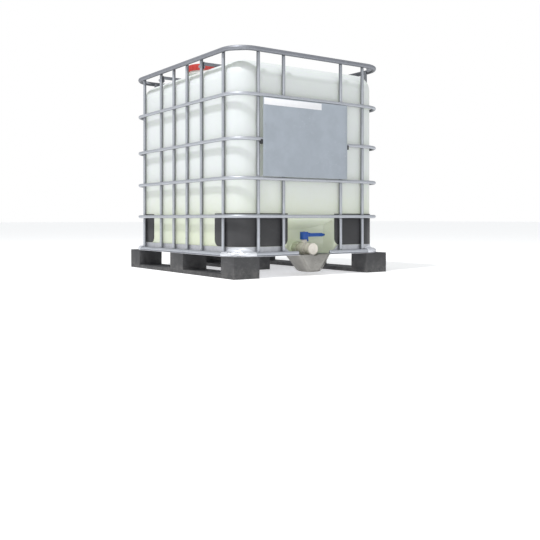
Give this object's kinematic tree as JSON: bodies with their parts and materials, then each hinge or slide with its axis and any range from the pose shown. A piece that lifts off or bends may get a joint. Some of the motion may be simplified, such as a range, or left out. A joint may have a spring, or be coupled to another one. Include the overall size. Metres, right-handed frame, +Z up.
{
  "type": "intermediate bulk container",
  "caption": "Caged intermediate bulk container: translucent bottle in a welded tube cage on a pallet, with a red fill lid and a lever ball valve in a sheet-steel well.",
  "frame": {"origin": "centre of the pallet's footprint, on the ground", "axes": "+Z up, +Y along the long side away from the valve, +X to the right when facing the valve"},
  "size_m": [1, 1.2, 1.15],
  "materials": {
    "pallet_plastic": "matte",
    "zinc_fastener": "zinc plated",
    "pan_steel": "galvanised",
    "well_steel": "galvanised, dull",
    "rim_steel": "galvanised, dark",
    "cage_steel": "galvanised",
    "label_steel": "satin",
    "clip_steel": "satin",
    "label_paper": "matte",
    "bottle_plastic": "translucent",
    "guard_plastic": "satin",
    "lid_plastic": "satin",
    "seal_rubber": "matte",
    "nut_plastic": "satin",
    "valve_plastic": "satin",
    "seat_plastic": "satin",
    "ball_plastic": "gloss",
    "stem_steel": "turned",
    "handle_plastic": "satin",
    "cap_plastic": "satin"
  },
  "bodies": {
    "root": {"skid_left": "pallet_plastic", "skid_centre": "pallet_plastic", "skid_right": "pallet_plastic", "corner_feet": "pallet_plastic", "side_feet": "pallet_plastic", "centre_feet": "pallet_plastic", "skid_screws": "zinc_fastener", "base_pan": "pan_steel", "pan_corner_plates": "pan_steel", "pan_bolts": "zinc_fastener", "valve_well": "well_steel", "well_rivets": "zinc_fastener", "top_rim": "rim_steel", "hoop_upper": "cage_steel", "hoop_middle": "cage_steel", "hoop_lower": "cage_steel", "hoop_base": "cage_steel", "bottom_rim": "cage_steel", "rim_plugs": "cage_steel", "rim_screws": "zinc_fastener", "uprights_front": "cage_steel", "uprights_rear": "cage_steel", "uprights_left": "cage_steel", "uprights_right": "cage_steel", "corner_gussets": "rim_steel", "top_bar_front": "rim_steel", "top_bar_rear": "rim_steel", "top_bar_bolts": "zinc_fastener", "top_bar_nuts": "zinc_fastener", "label_plate": "label_steel", "label_clips": "clip_steel", "label_rivets": "zinc_fastener", "label_strip": "label_paper", "bottle": "bottle_plastic", "guard_front_left": "guard_plastic", "guard_front_right": "guard_plastic", "guard_rear_left": "guard_plastic", "guard_rear_right": "guard_plastic", "outlet_nut": "nut_plastic", "valve_gasket": "seal_rubber", "valve_body": "valve_plastic", "ball_seats": "seat_plastic"},
    "lid_seal": {"lid_gasket": "seal_rubber"},
    "lid": {"lid": "lid_plastic"},
    "cap_seal": {"cap_gasket": "seal_rubber"},
    "outlet_cap": {"outlet_cap": "cap_plastic"},
    "handle": {"valve_handle": "handle_plastic", "handle_screw": "stem_steel", "valve_stem": "stem_steel", "valve_ball": "ball_plastic", "stem_seals": "seal_rubber"}
  },
  "joints": [
    {"name": "lid_lift", "type": "slide", "parent": "root", "child": "lid_seal", "axis": [0, 0, 1], "range_m": [0, 0.25]},
    {"name": "lid_turn", "type": "hinge", "parent": "lid_seal", "child": "lid", "pos_m": [-0.318, 0, 1.13], "axis": [0, 0, 1], "continuous": true},
    {"name": "cap_pull", "type": "slide", "parent": "root", "child": "cap_seal", "axis": [0, -1, 0], "range_m": [0, 0.1]},
    {"name": "cap_turn", "type": "hinge", "parent": "cap_seal", "child": "outlet_cap", "pos_m": [0, -0.56, 0.137], "axis": [0, -1, 0], "continuous": true},
    {"name": "valve_lever", "type": "hinge", "parent": "root", "child": "handle", "pos_m": [0, -0.5, 0.2], "axis": [0, 0, -1], "range_deg": [0, 90]}
  ]
}
